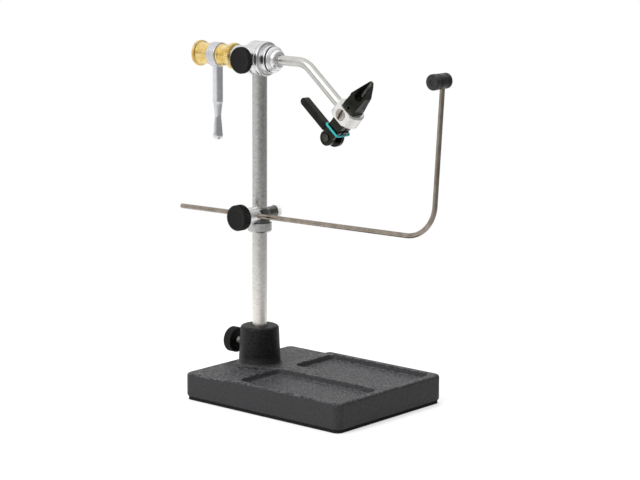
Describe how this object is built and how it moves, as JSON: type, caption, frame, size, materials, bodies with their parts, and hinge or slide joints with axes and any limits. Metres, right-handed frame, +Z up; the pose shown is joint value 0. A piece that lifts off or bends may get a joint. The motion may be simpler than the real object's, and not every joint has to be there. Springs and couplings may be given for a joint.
{
  "type": "fly tying vise",
  "caption": "Rotary fly tying vise with a cast pedestal base, steel post, turned head, cranked arm with cam-lever jaws and a rod cradle.",
  "frame": {"origin": "the post's axis at the underside of the base", "axes": "+Z up along the post, +X along the base's long side from the post towards the jaws, +Y across the base"},
  "size_m": [0.2208, 0.103, 0.2281],
  "materials": {
    "base_coat": "speckled matte powder coat on cast iron",
    "pad_rubber": "matte",
    "screw_steel": "plain turned steel",
    "screw_dark": "dark steel",
    "knob_black": "black anodised, knurled",
    "post_steel": "drawn steel with fine long scratches",
    "turned_aluminium": "turned and polished",
    "cap_bright": "bright turned",
    "rod_stainless": "ground stainless",
    "bush_bronze": "sintered bronze",
    "arm_steel": "satin polished",
    "washer_black": "matte",
    "knob_brass": "turned and polished, knurled rim",
    "hub_aluminium": "satin turned",
    "handle_aluminium": "satin turned",
    "collar_white": "bead blasted",
    "jaw_black": "black oxide on hardened steel",
    "lever_black": "black oxide, satin",
    "band_teal": "glossy"
  },
  "bodies": {
    "base": {"base_casting": "base_coat", "base_pad": "pad_rubber"},
    "base_thumbscrew": {"base_thumb_screw": "screw_steel", "base_thumb_knob": "knob_black"},
    "post": {"post": "post_steel"},
    "stop": {"stop_collar": "turned_aluminium", "stop_collar_screw": "screw_dark"},
    "clamp": {"clamp_body": "turned_aluminium", "clamp_cap": "cap_bright"},
    "clamp_thumbscrew": {"clamp_thumb_screw": "screw_steel", "clamp_thumb_knob": "knob_black"},
    "cradle": {"cradle_rod": "rod_stainless"},
    "spool": {"cradle_spool": "knob_black"},
    "head": {"head_housing": "turned_aluminium", "head_grub_screw": "screw_dark", "front_bush": "bush_bronze", "rear_bush": "bush_bronze"},
    "lock_thumbscrew": {"lock_thumb_screw": "screw_steel", "lock_thumb_knob": "knob_black"},
    "rotor": {"rotary_arm": "arm_steel", "thrust_washer": "washer_black", "rotor_collar": "turned_aluminium", "collar_set_screw": "screw_dark", "drag_washer": "cap_bright", "crank_hub": "hub_aluminium", "crank_handle": "handle_aluminium", "jaw_collar": "collar_white", "jaw_screws": "screw_steel", "jaw_band": "band_teal"},
    "drag_knob": {"drag_knob": "knob_brass"},
    "lock_knob": {"crank_lock_knob": "knob_brass"},
    "near_jaw": {"near_jaw": "jaw_black"},
    "far_jaw": {"far_jaw": "jaw_black"},
    "lever": {"cam_lever": "lever_black", "cam_pin": "jaw_black", "cam_nut": "jaw_black"}
  },
  "joints": [
    {"name": "base_thumbscrew_turn", "type": "hinge", "parent": "base", "child": "base_thumbscrew", "pos_m": [-0.0188, 0, 0.03], "axis": [-1, 0, 0], "range_deg": [0, 720]},
    {"name": "post_height", "type": "slide", "parent": "base", "child": "post", "axis": [0, 0, 1], "range_m": [0, 0.02]},
    {"name": "cradle_height", "type": "slide", "parent": "post", "child": "stop", "axis": [0, 0, 1], "range_m": [-0.055, 0.02]},
    {"name": "cradle_swivel", "type": "hinge", "parent": "stop", "child": "clamp", "pos_m": [0, 0, 0.1163], "axis": [0, 0, 1], "continuous": true},
    {"name": "clamp_thumbscrew_turn", "type": "hinge", "parent": "clamp", "child": "clamp_thumbscrew", "pos_m": [0, -0.01645, 0.1163], "axis": [0, -1, 0], "range_deg": [0, 720]},
    {"name": "rod_reach", "type": "slide", "parent": "clamp", "child": "cradle", "axis": [0.9998, 0, 0.0175], "range_m": [-0.04, 0.03]},
    {"name": "spool_turn", "type": "hinge", "parent": "cradle", "child": "spool", "pos_m": [0.15187, -0.0064, 0.21468], "axis": [0.0593, 0, 0.9982], "continuous": true},
    {"name": "head_swivel", "type": "hinge", "parent": "post", "child": "head", "pos_m": [0, 0, 0.217], "axis": [0, 0, 1], "continuous": true},
    {"name": "lock_thumbscrew_turn", "type": "hinge", "parent": "head", "child": "lock_thumbscrew", "pos_m": [0, -0.0155, 0.217], "axis": [0, -1, 0], "range_deg": [0, 720]},
    {"name": "rotor_spin", "type": "hinge", "parent": "head", "child": "rotor", "pos_m": [0, 0, 0.217], "axis": [1, 0, 0], "continuous": true},
    {"name": "drag_knob_turn", "type": "hinge", "parent": "rotor", "child": "drag_knob", "pos_m": [-0.024, 0, 0.217], "axis": [-1, 0, 0], "range_deg": [0, 360]},
    {"name": "lock_knob_turn", "type": "hinge", "parent": "rotor", "child": "lock_knob", "pos_m": [-0.048, 0, 0.217], "axis": [-1, 0, 0], "range_deg": [0, 720]},
    {"name": "cam_lever_swing", "type": "hinge", "parent": "rotor", "child": "lever", "pos_m": [0.06015, 0, 0.1719], "axis": [0, -1, 0], "range_deg": [0, 90]},
    {"name": "near_jaw_open", "type": "hinge", "parent": "rotor", "child": "near_jaw", "pos_m": [0.07346, 0, 0.18775], "axis": [0.766, 0, -0.6428], "range_deg": [0, 1.5]},
    {"name": "far_jaw_open", "type": "hinge", "parent": "rotor", "child": "far_jaw", "pos_m": [0.07346, 0, 0.18775], "axis": [-0.766, 0, 0.6428], "range_deg": [0, 1.5]}
  ],
  "couplings": [
    {"joint": "near_jaw_open", "follows": "cam_lever_swing", "ratio": 0.016666},
    {"joint": "far_jaw_open", "follows": "cam_lever_swing", "ratio": 0.016666}
  ]
}
